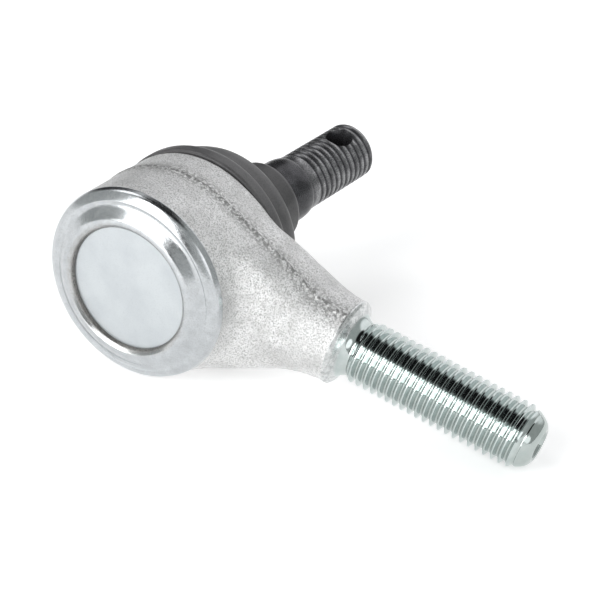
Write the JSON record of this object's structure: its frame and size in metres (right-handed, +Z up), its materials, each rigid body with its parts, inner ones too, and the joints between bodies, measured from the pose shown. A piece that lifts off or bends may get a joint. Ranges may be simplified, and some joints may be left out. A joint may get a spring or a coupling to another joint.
{
  "type": "rod end bearing",
  "caption": "Steering rod end with a forged housing on a left-hand threaded shank and a tilting, turning threaded ball stud under a rubber dust boot.",
  "frame": {"origin": "centre of the ball, where the shank's axis crosses the socket's axis", "axes": "+X out along the threaded shank, +Y along the socket's axis towards the stud and boot, +Z up"},
  "size_m": [0.094, 0.0688, 0.0374],
  "materials": {
    "forged_zinc": "rough",
    "cap_zinc": "satin",
    "spring_steel": "satin",
    "phosphated_steel": "satin",
    "boot_rubber": "matte",
    "seal_rubber": "matte",
    "acetal": "satin"
  },
  "bodies": {
    "housing": {"housing": "forged_zinc", "cap_plate": "cap_zinc", "cap_seal": "seal_rubber", "preload_spring": "spring_steel", "pressure_plate": "spring_steel", "lower_seat": "acetal", "upper_seat": "acetal", "boot_base_insert": "spring_steel"},
    "boot": {"dust_boot": "boot_rubber", "boot_base_ring": "spring_steel"},
    "boot_lip": {"boot_neck_ring": "spring_steel"},
    "stud": {"ball_stud": "phosphated_steel"}
  },
  "joints": [
    {"name": "tilt_direction", "type": "hinge", "parent": "housing", "child": "boot", "pos_m": [0, 0, 0], "axis": [0, 1, 0], "continuous": true},
    {"name": "stud_tilt", "type": "hinge", "parent": "boot", "child": "boot_lip", "pos_m": [0, 0, 0], "axis": [0.7071, 0, -0.7071], "range_deg": [-38, 12], "deforming": ["dust_boot"]},
    {"name": "stud_spin", "type": "hinge", "parent": "boot_lip", "child": "stud", "pos_m": [0, 0, 0], "axis": [0.1591, 0.9744, 0.1591], "continuous": true}
  ]
}
